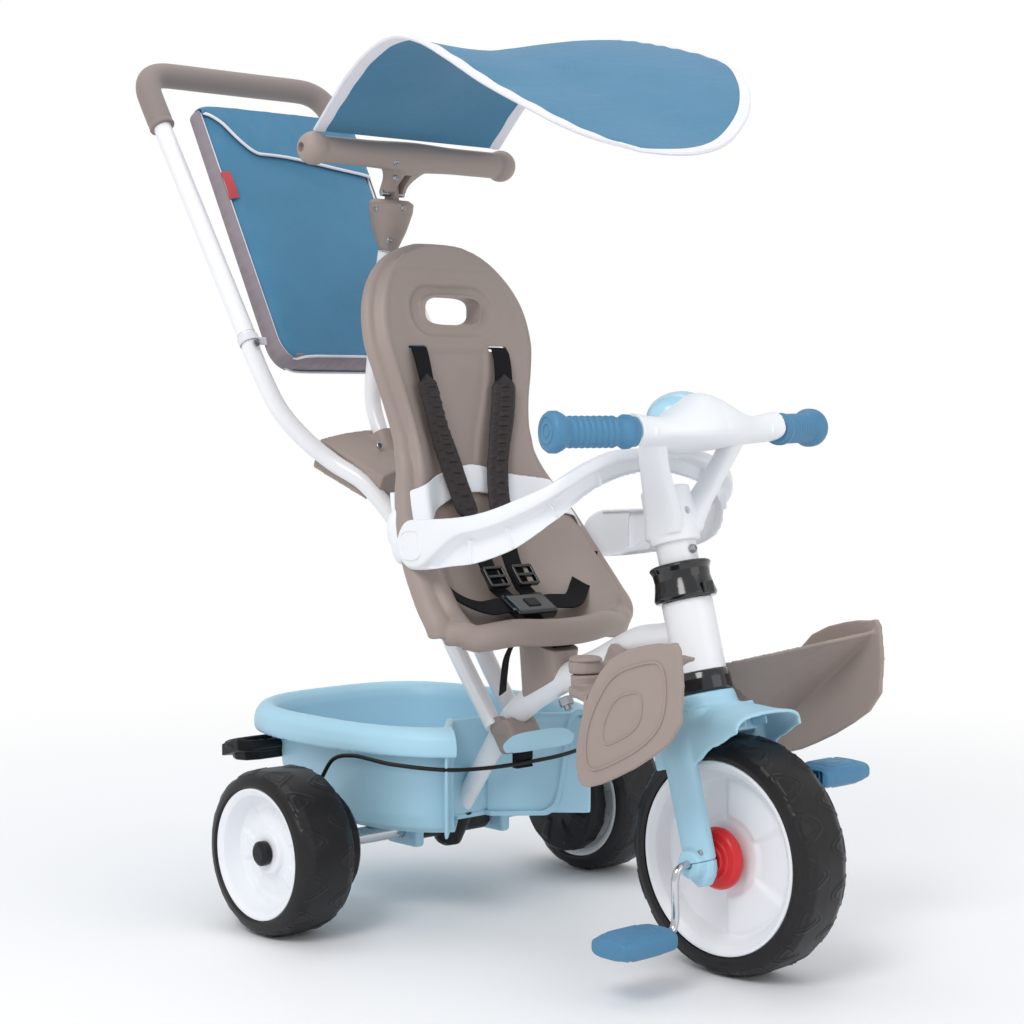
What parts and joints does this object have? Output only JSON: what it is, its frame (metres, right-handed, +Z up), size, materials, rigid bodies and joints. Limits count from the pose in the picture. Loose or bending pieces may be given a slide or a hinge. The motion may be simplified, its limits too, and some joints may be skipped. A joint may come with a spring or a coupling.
{
  "type": "children's tricycle",
  "caption": "Toddler tricycle with parent push handle, sun canopy, guard ring, harness, foot wings, tub basket, storage bag and foot brake.",
  "frame": {"origin": "centre of the footprint at floor level, under the middle of the overall box", "axes": "+Z up, -Y is the driving direction, +X is the left-hand side of the rider"},
  "size_m": [0.5564, 0.9936, 1.0005],
  "materials": {
    "white_tube": "satin white powder coat",
    "white_plastic": "smooth white moulding",
    "taupe_plastic": "satin taupe moulding",
    "light_blue_plastic": "satin light blue moulding",
    "mid_blue_plastic": "satin blue moulding",
    "blue_fabric": "woven polyester",
    "black_tyre": "matt moulded tyre",
    "gloss_black": "glossy black moulding",
    "matt_black": "matt black moulding",
    "black_webbing": "woven webbing",
    "red_plastic": "glossy red moulding",
    "chrome": "bright plated steel",
    "black_rubber": "matt rubber"
  },
  "bodies": {
    "frame": {"main_frame": "white_tube", "rear_stay_left": "white_tube", "rear_stay_right": "white_tube", "canopy_post": "white_tube", "canopy_joint": "taupe_plastic", "push_bar_bracket": "taupe_plastic", "seat_shell": "taupe_plastic", "waist_saddle": "white_plastic", "seat_mount": "taupe_plastic", "seat_bolt": "chrome", "rear_axle": "chrome", "axle_socket": "matt_black", "basket": "light_blue_plastic", "basket_latch": "taupe_plastic", "latch_strap": "black_rubber", "brake_drum_left": "matt_black", "brake_drum_right": "matt_black", "brake_cable": "black_rubber", "upper_headset_collar": "gloss_black", "lower_headset_collar": "gloss_black", "footrest_crossbar": "taupe_plastic", "shoulder_belt_left": "black_webbing", "shoulder_belt_right": "black_webbing", "lap_belt_left": "black_webbing", "lap_belt_right": "black_webbing", "crotch_belt": "black_webbing", "harness_buckle": "matt_black"},
    "steering": {"fork": "light_blue_plastic", "fork_cap_left": "light_blue_plastic", "fork_cap_right": "light_blue_plastic", "steering_stem": "white_tube", "handlebar_yoke": "white_plastic", "dash_cover": "white_plastic", "handlebar_grip_left": "mid_blue_plastic", "handlebar_grip_right": "mid_blue_plastic", "stem_bolt": "chrome"},
    "horn": {"horn_dome": "light_blue_plastic"},
    "front_wheel": {"front_tyre": "black_tyre", "front_rim": "white_plastic", "front_hub": "red_plastic"},
    "crank": {"crankshaft": "chrome"},
    "pedal_left_body": {"pedal_left": "mid_blue_plastic"},
    "pedal_right_body": {"pedal_right": "mid_blue_plastic"},
    "rear_wheel_left": {"rear_tyre_left": "black_tyre", "rear_rim_left": "white_plastic", "rear_hub_cap_left": "matt_black"},
    "rear_wheel_right": {"rear_tyre_right": "black_tyre", "rear_rim_right": "white_plastic", "rear_hub_cap_right": "matt_black"},
    "brake": {"brake_pedal": "matt_black"},
    "guard_left": {"guard_arm_left": "white_plastic"},
    "guard_right": {"guard_arm_right": "white_plastic"},
    "footrest_left_body": {"footrest_left": "taupe_plastic"},
    "footrest_right_body": {"footrest_right": "taupe_plastic"},
    "canopy": {"canopy_bar": "taupe_plastic", "canopy_panel": "blue_fabric"},
    "push_handle": {"push_handle_tube": "white_tube", "push_handle_grip": "taupe_plastic", "storage_bag": "blue_fabric"}
  },
  "joints": [
    {"name": "steering_turn", "type": "hinge", "parent": "frame", "child": "steering", "pos_m": [0, -0.37656, 0.1202], "axis": [0, 0.2672, 0.9636], "range_deg": [-25, 25]},
    {"name": "front_wheel_spin", "type": "hinge", "parent": "steering", "child": "front_wheel", "pos_m": [0, -0.37656, 0.1202], "axis": [1, 0, 0], "continuous": true},
    {"name": "crank_turn", "type": "hinge", "parent": "steering", "child": "crank", "pos_m": [0, -0.37656, 0.1202], "axis": [1, 0, 0], "continuous": true},
    {"name": "pedal_left_spin", "type": "hinge", "parent": "crank", "child": "pedal_left_body", "pos_m": [0.15, -0.37656, 0.1852], "axis": [1, 0, 0], "continuous": true},
    {"name": "pedal_right_spin", "type": "hinge", "parent": "crank", "child": "pedal_right_body", "pos_m": [-0.15, -0.37656, 0.0552], "axis": [1, 0, 0], "continuous": true},
    {"name": "rear_wheel_left_spin", "type": "hinge", "parent": "frame", "child": "rear_wheel_left", "pos_m": [0.2404, 0.06853, 0.0904], "axis": [1, 0, 0], "continuous": true},
    {"name": "rear_wheel_right_spin", "type": "hinge", "parent": "frame", "child": "rear_wheel_right", "pos_m": [-0.2404, 0.06853, 0.0904], "axis": [1, 0, 0], "continuous": true},
    {"name": "brake_press", "type": "hinge", "parent": "frame", "child": "brake", "pos_m": [-0.171, 0.11453, 0.118], "axis": [1, 0, 0], "range_deg": [-12, 0]},
    {"name": "canopy_tilt", "type": "hinge", "parent": "frame", "child": "canopy", "pos_m": [0, 0.16503, 0.821], "axis": [1, 0, 0], "range_deg": [-20, 20]},
    {"name": "guard_left_open", "type": "hinge", "parent": "frame", "child": "guard_left", "pos_m": [0.129, -0.01346, 0.423], "axis": [0, 0, 1], "range_deg": [0, 60]},
    {"name": "guard_right_open", "type": "hinge", "parent": "frame", "child": "guard_right", "pos_m": [-0.129, -0.01346, 0.423], "axis": [0, 0, 1], "range_deg": [-60, 0]},
    {"name": "footrest_left_fold", "type": "hinge", "parent": "frame", "child": "footrest_left_body", "pos_m": [0.08, -0.24197, 0.29], "axis": [0, 0, 1], "range_deg": [0, 85]},
    {"name": "footrest_right_fold", "type": "hinge", "parent": "frame", "child": "footrest_right_body", "pos_m": [-0.08, -0.24197, 0.29], "axis": [0, 0, 1], "range_deg": [-85, 0]},
    {"name": "push_handle_height", "type": "slide", "parent": "frame", "child": "push_handle", "axis": [0, 0.5529, 0.8333], "range_m": [0, 0.05]},
    {"name": "horn_press", "type": "slide", "parent": "steering", "child": "horn", "axis": [0, -0.2672, -0.9636], "range_m": [0, 0.003], "stiffness_N_per_m": 600, "springref_m": -0.001}
  ],
  "couplings": [
    {"joint": "crank_turn", "follows": "front_wheel_spin", "ratio": 1}
  ]
}
